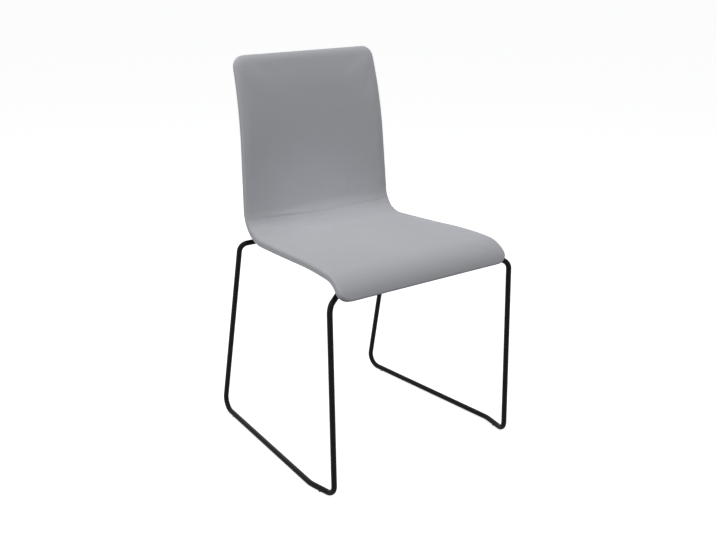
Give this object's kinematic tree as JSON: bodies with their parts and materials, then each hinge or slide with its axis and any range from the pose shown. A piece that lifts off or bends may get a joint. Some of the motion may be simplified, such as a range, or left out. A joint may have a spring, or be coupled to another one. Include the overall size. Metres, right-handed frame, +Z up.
{
  "type": "sled base visitor chair",
  "caption": "Armless visitor chair with a thin upholstered one-piece shell, bent down at the front, on a base of bent round steel rod with runners.",
  "frame": {"origin": "on the floor, below the middle of the chair's outer width and length", "axes": "+Z up, the chair's front faces -Y, +X is the sitter's left"},
  "size_m": [0.5164, 0.498, 0.8497],
  "materials": {
    "cover": "fine matt grey upholstery cloth, light grey in plain light",
    "foam": "cut upholstery foam, hidden",
    "plywood": "moulded beech plywood, hidden",
    "frame": "satin black powder coat",
    "glide": "black nylon",
    "spacer": "black plastic",
    "hardware": "zinc plated, hidden",
    "screw": "black oxide"
  },
  "bodies": {
    "root": {"front_cover": "cover", "rear_cover": "cover", "seat_and_back_pad": "foam", "rear_lining": "foam", "plywood_shell": "plywood", "side_frame_left": "frame", "side_frame_right": "frame", "cross_bar_front": "frame", "cross_bar_rear": "frame", "mounting_strip_left": "frame", "mounting_strip_right": "frame", "glide_front_left": "glide", "spacer_front_left": "spacer", "shell_nut_front_left": "hardware", "shell_screw_front_left": "screw", "glide_rear_left": "glide", "spacer_rear_left": "spacer", "shell_nut_rear_left": "hardware", "shell_screw_rear_left": "screw", "glide_front_right": "glide", "spacer_front_right": "spacer", "shell_nut_front_right": "hardware", "shell_screw_front_right": "screw", "glide_rear_right": "glide", "spacer_rear_right": "spacer", "shell_nut_rear_right": "hardware", "shell_screw_rear_right": "screw"}
  },
  "joints": []
}
